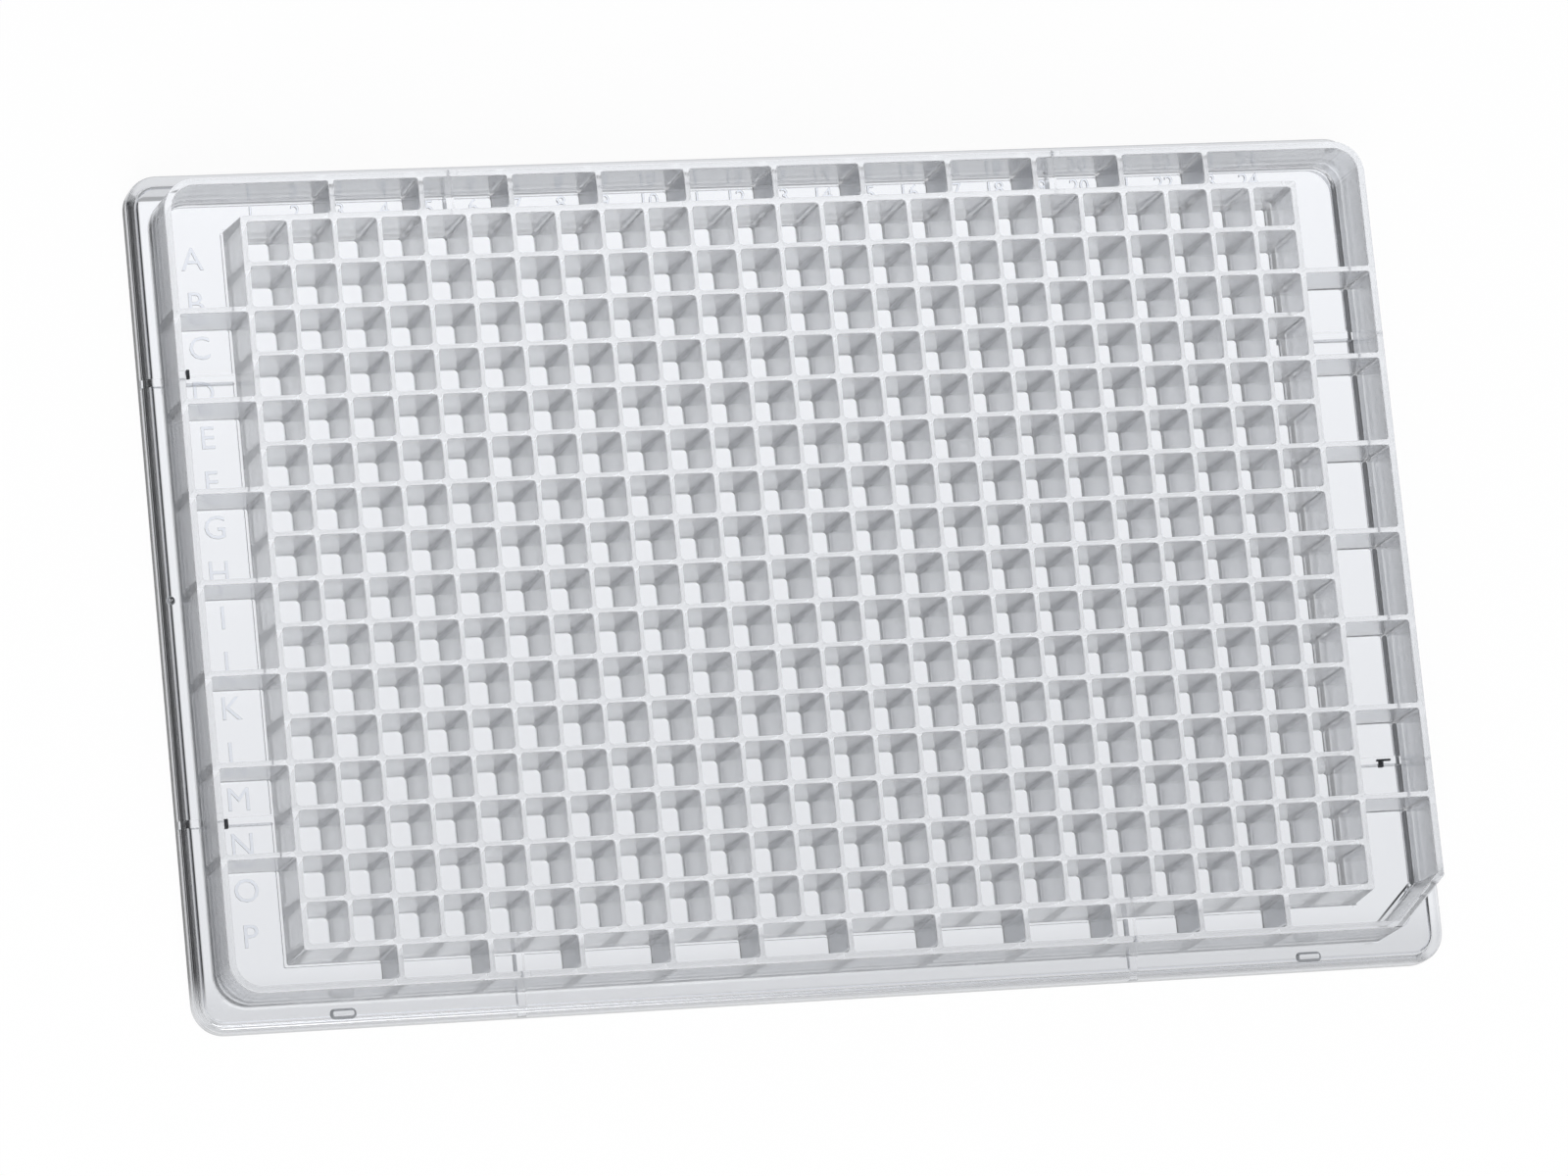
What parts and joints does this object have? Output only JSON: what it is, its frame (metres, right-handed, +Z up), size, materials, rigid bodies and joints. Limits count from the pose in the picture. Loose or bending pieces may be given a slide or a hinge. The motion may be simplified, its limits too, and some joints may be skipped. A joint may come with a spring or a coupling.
{
  "type": "microplate",
  "caption": "Low-profile clear assay plate: a block of tapered square wells inside a ribbed moat and rim, on a stepped foot with one cut-off rim corner.",
  "frame": {"origin": "middle of the footprint on the surface the plate stands on", "axes": "+X along the long side towards the short side that ends in the cut-off corner, +Y towards the first row, +Z up out of the wells"},
  "size_m": [0.1278, 0.0854, 0.0104],
  "materials": {
    "clear_polystyrene": "clear, gloss"
  },
  "bodies": {
    "root": {"plate": "clear_polystyrene"}
  },
  "joints": []
}
